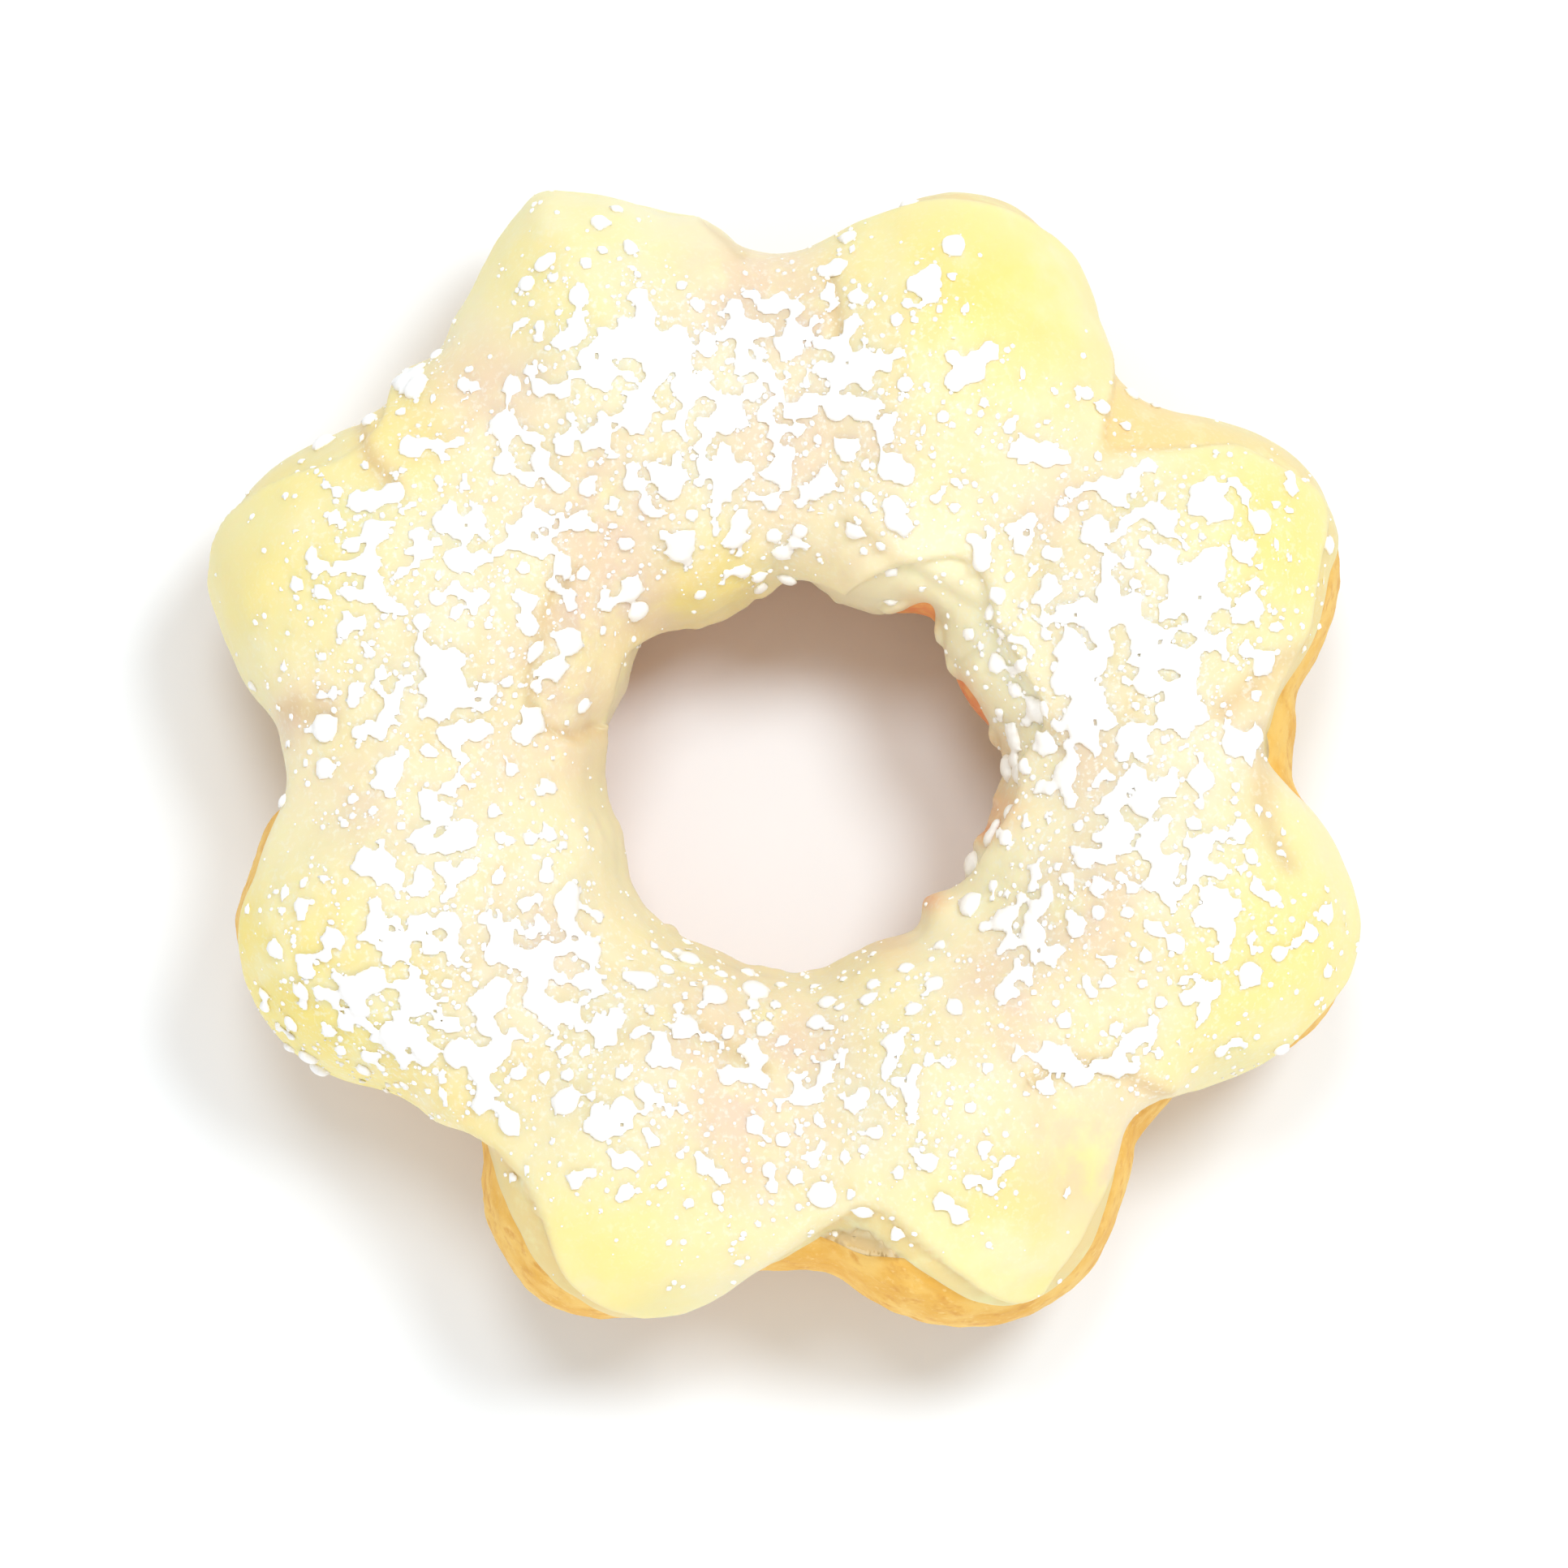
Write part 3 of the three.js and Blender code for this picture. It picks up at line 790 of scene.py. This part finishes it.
icing_rows = icing_points.shape[1]
bpy.ops.object.select_all(action="DESELECT")
bpy.ops.mesh.primitive_grid_add(x_subdivisions=ROUND_STEPS, y_subdivisions=icing_rows, size=1)
icing = bpy.context.object
icing.name = "icing_coat"
flat_sheet = points_of(icing) + 0.5
sheet_step = np.rint(flat_sheet[:, 0] * ROUND_STEPS).astype(int) % ROUND_STEPS
sheet_row = np.rint(flat_sheet[:, 1] * icing_rows).astype(int) % icing_rows
icing.data.vertices.foreach_set("co", icing_points[sheet_step, sheet_row].ravel())


def store_on_sheet(name, values):
    """Keeps a value at each point of the sheet that shows, and 0 at its hidden points."""
    every = np.concatenate([values, np.zeros(hidden_section.shape)], axis=1)
    store(icing, name, every[sheet_step, sheet_row])


skin_radii = np.hypot(skin[..., 0], skin[..., 1])
inside = rise_between(skin_radii, INSIDE)
off_middle = np.abs(skin_radii - SUGAR_MIDDLE) / SOAKED_SHADED_SPREAD
soaking_and_shade = around_ring(SUGAR_FALL, ring_bearings)[:, None] ** SUGAR_TINT
store_on_sheet("film", (1 - ramp(from_lip / LIP_FADE)) * around_ring(FILM_SHOW, ring_bearings)[:, None])
store_on_sheet("inside", inside)
# Painted light on the slope towards the hole, which faces away from the lights.
store_on_sheet("slope_light", inside * around_ring(SLOPE_LIGHT, ring_bearings)[:, None])
store_on_sheet("peach", patch_strength(skin, PEACH))
store_on_sheet("lemon", patch_strength(skin, LEMON))
# Painted warm shade at the thin edge by the hole.
store_on_sheet("blush_warm_shade", patch_strength(skin, BLUSH_WARM_SHADE))
store_on_sheet("dusted", sugar_share(skin) ** SUGAR_TINT)
# Soaked icing with painted shade for the shadows among the sugar clumps.
store_on_sheet("soaked_and_shaded", np.exp(-(off_middle**SUGAR_THINNING)) * soaking_and_shade)
# Painted shade in the folds' dents.
store_on_sheet("dent_shade", np.max([dent_shade for height, dent_shade in folds], axis=0))
select_points(icing, np.ones(len(flat_sheet), bool))
bpy.ops.mesh.remove_doubles(threshold=0.0001 * MM)
bpy.ops.object.mode_set(mode="OBJECT")
bpy.ops.object.shade_smooth()


def icing_material():
    """Lemon icing, with the dough's tan in the film and its peach in the creases, and painted light and
    shade: tan shade in the folds' dents, shade between the sugar, warm shade at the hole's edge and light on
    the slope towards the hole.
    """
    material, tree = new_material("lemon_icing")
    pale = blended(tree, patches(tree, 110, 0.36, 0.64, 11), PALE_LEMON, PALE_CREAM)
    yellow = weakened(tree, attribute(tree, "lemon"), patches(tree, 180, 0.25, 0.55, 13))
    lemon = blended(tree, yellow, pale, STRONG_LEMON)
    # Soaked icing, with painted shade for the shadows among the sugar clumps.
    soaked_and_shaded = blended(tree, patches(tree, 420, 0.42, 0.66, 15), SOAKED_SHADED_CREAM, SOAKED_SHADED_TAN)
    crown = blended(tree, attribute(tree, "soaked_and_shaded"), lemon, soaked_and_shaded)
    warm = weakened(tree, attribute(tree, "peach"), patches(tree, 260, 0.3, 0.55, 12))
    peachy = blended(tree, warm, crown, PEACH_TINT)
    # Painted shade: the folds' dents are tinted tan.
    crease_shaded = blended(tree, weakened(tree, attribute(tree, "dent_shade"), DENT_SHADE_TINT), peachy, DENT_SHADE_TAN)
    thin = blended(tree, attribute(tree, "inside"), FILM_TAN, INNER_FILM_CREAM)
    showing = weakened(tree, attribute(tree, "film"), patches(tree, 380, 0.22, 0.5, 16))
    filmy = blended(tree, showing, crease_shaded, thin)
    # Painted light: the slope towards the hole is painted paler.
    slope_lit = blended(tree, attribute(tree, "slope_light"), filmy, SLOPE_LIGHT_CREAM)
    # Painted warm shade: the thin edge by the hole is painted orange.
    blush_shaded = blended(tree, attribute(tree, "blush_warm_shade"), slope_lit, BLUSH_SHADE_ORANGE)
    powdered = weakened(tree, attribute(tree, "dusted"), patches(tree, 2600, 0.5, 0.68, 14))
    finished_material(
        tree,
        {
            "Base Color": blended(tree, powdered, blush_shaded, POWDER_WHITE),
            "Roughness": 0.45,
            "Specular IOR Level": 0.3,
            "Subsurface Weight": 0.45,
            "Subsurface Radius": (1.0, 0.7, 0.35),
            "Subsurface Scale": 2.2 * MM,
            "Normal": fine_relief(tree, 700, 3, 0.2, 0.12 * MM),
        },
    )
    return material


icing.data.materials.append(icing_material())
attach(icing, "root")
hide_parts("icing")


# Sugar clumps
# Icing sugar sifted over the ring while the icing was soft. It caught as round, crumbly lumps of half a
# millimetre to two that lie over each other along the crown, and thin out down the balls.
LUMP_TRIES = 40000
LUMP_CHANCE = 0.28
# A lump's usual width, how much it varies and how far at most, its height as a share of its width, how
# far its middle is lifted off the icing, and the share of its width that is one round middle.
LUMP_WIDTH = 0.93 * MM
LUMP_SPREAD = 0.4
LUMP_EXTREMES = (-1.5, 2.2)
LUMP_HEIGHT = 0.5
LUMP_LIFT = 0.09 * MM
LUMP_CORE = 0.94
# Crumbs around each lump's rim: how many, how far out as a share of the lump's width and how much more at
# most. Then their width in the same way, as a share of the geometric mean of the lump's width and a
# millimetre, and their height as a share of their own width.
CRUMBS_EACH = 6
CRUMB_NEAREST = 0.36
CRUMB_FURTHER = 0.14
CRUMB_SMALLEST = 0.28
CRUMB_LARGER = 0.16
CRUMB_HEIGHT = 0.8
# The step of the mesh in which lumps and crumbs melt together.
SUGAR_STEP = 0.228 * MM
# The drifts in which the sugar fell, as layers of noise, and the steepest slope that still caught some,
# as the upright part of its normal.
DRIFTS = [(0.6, 3.5 * MM), (0.6, 1.6 * MM)]
STEEPEST = 0.15
# A slanting direction, from which the sideways ones are taken at each place.
SLANT = np.array([0.3, 0.2, 0.93]) + 1e-6
SUGAR_WHITE = (253, 253, 252)
SUGAR_SHADE = (248, 247, 245)


def scattered(piece, count, seed):
    """Even random places on the upper side of a piece, with the surface's normals there."""
    draw = np.random.default_rng(seed)
    piece.data.calc_loop_triangles()
    corners = np.empty(len(piece.data.loop_triangles) * 3, int)
    piece.data.loop_triangles.foreach_get("vertices", corners)
    triangles = points_of(piece)[corners.reshape(-1, 3)]
    normal = np.cross(triangles[:, 1] - triangles[:, 0], triangles[:, 2] - triangles[:, 0])
    area = np.linalg.norm(normal, axis=1)
    normal = normal / np.maximum(area, 1e-15)[:, None]
    area = np.where(normal[:, 2] > STEEPEST, area, 0)
    chosen = draw.choice(len(area), count, p=area / area.sum())
    u, v = draw.random((2, count))
    folded = u + v > 1
    u, v = np.where(folded, 1 - u, u), np.where(folded, 1 - v, v)
    first, second, third = (triangles[chosen, k] for k in range(3))
    return first + (second - first) * u[:, None] + (third - first) * v[:, None], normal[chosen]


def drifted(places):
    """How many times its usual share of the sugar fell at each place."""
    return np.exp(layered(places, DRIFTS, 6))


def strewn(name, places, normals, widths, heights, seed, fineness=1, uneven_by=0.24, squash=0.3):
    """One mesh of many flattened crumbs, each lying on the surface at its place."""
    bpy.ops.mesh.primitive_ico_sphere_add(subdivisions=fineness, radius=0.5)
    crumb = bpy.context.object
    shape = points_of(crumb)
    faces = np.array([face.vertices[:] for face in crumb.data.polygons])
    draw = np.random.default_rng(seed)
    count = len(places)
    turn = draw.random(count) * 2 * math.pi
    side = np.cross(normals, SLANT)
    side /= np.linalg.norm(side, axis=1)[:, None]
    across = np.cross(normals, side)
    first = side * np.cos(turn)[:, None] + across * np.sin(turn)[:, None]
    second = np.cross(normals, first)
    knobbly = 1 + uneven_by * (draw.random((count, len(shape))) - 0.5)
    x, y, z = (shape[:, k][None, :] * knobbly for k in range(3))
    y = y * (1 - squash * draw.random((count, 1)))
    points = (
        places[:, None, :]
        + (x * widths[:, None])[:, :, None] * first[:, None, :]
        + (y * widths[:, None])[:, :, None] * second[:, None, :]
        + (z * heights[:, None])[:, :, None] * normals[:, None, :]
    )
    every = faces[None, :, :] + (np.arange(count) * len(shape))[:, None, None]
    mesh = bpy.data.meshes.new(name)
    mesh.from_pydata(points.reshape(-1, 3), [], every.reshape(-1, 3))
    piece = bpy.data.objects.new(name, mesh)
    bpy.context.scene.collection.objects.link(piece)
    bpy.data.objects.remove(crumb)
    return piece


def sugar_material():
    """Dry powder: white, with a little grey in its pits."""
    material, tree = new_material("icing_sugar")
    finished_material(
        tree,
        {
            "Base Color": blended(tree, patches(tree, 1800, 0.35, 0.65, 21), SUGAR_WHITE, SUGAR_SHADE),
            "Roughness": 0.85,
            "Specular IOR Level": 0.2,
            "Normal": fine_relief(tree, 5000, 3, 0.3, 0.06 * MM),
        },
    )
    return material


sugar = sugar_material()
lumps, lump_normals = scattered(icing, LUMP_TRIES, seed=3)
lump_draw = np.random.default_rng(4)
lump_chance = -LUMP_CHANCE * drifted(lumps) * np.log(1 - sugar_share(lumps))
lump_kept = lump_draw.random(LUMP_TRIES) < lump_chance
lumps, lump_normals = lumps[lump_kept], lump_normals[lump_kept]
lump_sizes = np.clip(lump_draw.standard_normal(len(lumps)), *LUMP_EXTREMES)
lump_widths = LUMP_WIDTH * np.exp(LUMP_SPREAD * lump_sizes)
lumps = lumps + lump_normals * LUMP_LIFT
sugar_clumps = strewn(
    "sugar_clumps",
    lumps,
    lump_normals,
    LUMP_CORE * lump_widths,
    LUMP_HEIGHT * lump_widths,
    seed=5,
    fineness=2,
    uneven_by=0.06,
    squash=0.2,
)
crumb_places = []
crumb_widths = []
for crumb in range(CRUMBS_EACH):
    around = lump_draw.standard_normal((len(lumps), 3))
    around -= lump_normals * np.sum(around * lump_normals, axis=1)[:, None]
    around /= np.linalg.norm(around, axis=1)[:, None]
    crumb_reach = lump_widths * (CRUMB_NEAREST + CRUMB_FURTHER * lump_draw.random(len(lumps)))
    crumb_places.append(lumps + around * crumb_reach[:, None])
    crumb_share = CRUMB_SMALLEST + CRUMB_LARGER * lump_draw.random(len(lumps))
    crumb_widths.append(crumb_share * np.sqrt(lump_widths * MM))
all_widths = np.concatenate(crumb_widths)
crumbs = strewn(
    "crumbs",
    np.concatenate(crumb_places),
    np.tile(lump_normals, (CRUMBS_EACH, 1)),
    all_widths,
    CRUMB_HEIGHT * all_widths,
    seed=6,
    uneven_by=0.08,
    squash=0.15,
)
only(sugar_clumps)
crumbs.select_set(True)
bpy.ops.object.join()
modified(sugar_clumps, "REMESH", mode="VOXEL", voxel_size=SUGAR_STEP)
bpy.ops.object.shade_smooth()
sugar_clumps.data.materials.append(sugar)
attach(sugar_clumps, "root")


# Sugar grains
# The finest of the same sugar, each grain lying singly on the icing between the clumps and out over the
# balls. It fell in the same drifts, but further out.
GRAIN_TRIES = 21000
GRAIN_CHANCE = 0.8
GRAIN_FALL = 0.7
# Widths in millimetres: the smallest, and how much more the largest has. The height is a share of it.
GRAIN_SMALLEST = 0.17
GRAIN_LARGER = 0.45
GRAIN_HEIGHT = 0.8

grains, grain_normals = scattered(icing, GRAIN_TRIES, seed=8)
grain_draw = np.random.default_rng(9)
grain_chance = GRAIN_CHANCE * drifted(grains) * sugar_share(grains) ** GRAIN_FALL
grain_kept = grain_draw.random(GRAIN_TRIES) < grain_chance
grains, grain_normals = grains[grain_kept], grain_normals[grain_kept]
grain_widths = (GRAIN_SMALLEST + GRAIN_LARGER * grain_draw.random(len(grains)) ** 2) * MM
grain_heights = grain_widths * GRAIN_HEIGHT
sugar_grains = strewn("sugar_grains", grains, grain_normals, grain_widths, grain_heights, seed=10)
only(sugar_grains)
bpy.ops.object.shade_smooth()
sugar_grains.data.materials.append(sugar)
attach(sugar_grains, "root")


# Table, light and camera
# A plain white table, washed out by two cool soft lights from behind, on the right and the left. Broader,
# lower lights in front and at the left, and a faintly warm surround, lift the shadows. The camera looks
# almost straight down.
TABLE_SIZE = 3.0
TABLE_WHITE = (242, 248, 255)
TABLE_WHITER = (243, 249, 255)
KEY_COLOUR = (0.95, 0.985, 1)
FILL_COLOUR = (1, 1, 1)
# Each light's place, width in metres, watts and colour.
LIGHTS = {
    "right_light": ((0.268, 0.225, 0.72), 0.22, 2.74, KEY_COLOUR),
    "left_light": ((-0.045, 0.25, 0.76), 0.22, 1.68, KEY_COLOUR),
    "front_light": ((0.15, -0.92, 0.42), 0.6, 2.85, FILL_COLOUR),
    "side_light": ((-0.88, -0.42, 0.26), 0.45, 1.15, FILL_COLOUR),
}
SURROUND_COLOUR = (1, 0.975, 0.945, 1)
SURROUND_STRENGTH = 0.53
CAMERA_DISTANCE = 0.5
CAMERA_ELEVATION = 86
SENSOR_WIDTH = 36
FRAME_WIDTH = 109.5 * MM
AIM = Vector((0.0, -1.9 * MM, 13 * MM))

bpy.ops.object.select_all(action="DESELECT")
bpy.ops.mesh.primitive_plane_add(size=TABLE_SIZE)
table = bpy.context.object
table.name = "table"


def table_material():
    """Smooth white board, a little uneven in its white."""
    material, tree = new_material("white_table")
    colour = blended(tree, patches(tree, 6, 0.3, 0.7, 31), TABLE_WHITE, TABLE_WHITER)
    finished_material(tree, {"Base Color": colour, "Roughness": 0.8, "Specular IOR Level": 0.1})
    return material


table.data.materials.append(table_material())

for light_name, (light_place, light_width, watts, light_colour) in LIGHTS.items():
    light_data = bpy.data.lights.new(light_name, "AREA")
    light_data.color = light_colour
    light_data.shape = "DISK"
    light_data.size = light_width
    light_data.energy = watts
    light = bpy.data.objects.new(light_name, light_data)
    bpy.context.scene.collection.objects.link(light)
    light.location = light_place
    light.rotation_euler = (-Vector(light_place)).to_track_quat("-Z", "Y").to_euler()
world = bpy.data.worlds.new("studio")
world.use_nodes = True
background = world.node_tree.nodes["Background"]
background.inputs["Color"].default_value = SURROUND_COLOUR
background.inputs["Strength"].default_value = SURROUND_STRENGTH
bpy.context.scene.world = world

camera_data = bpy.data.cameras.new("camera")
camera_data.sensor_width = SENSOR_WIDTH
camera_data.lens = SENSOR_WIDTH * CAMERA_DISTANCE / FRAME_WIDTH
camera = bpy.data.objects.new("camera", camera_data)
bpy.context.scene.collection.objects.link(camera)
tilt = math.radians(CAMERA_ELEVATION)
camera.location = AIM + Vector((0, -math.cos(tilt), math.sin(tilt))) * CAMERA_DISTANCE
camera.rotation_euler = (AIM - camera.location).to_track_quat("-Z", "Y").to_euler()
bpy.context.scene.camera = camera
bpy.context.scene.view_settings.view_transform = "Standard"

bpy.context.view_layer.update()
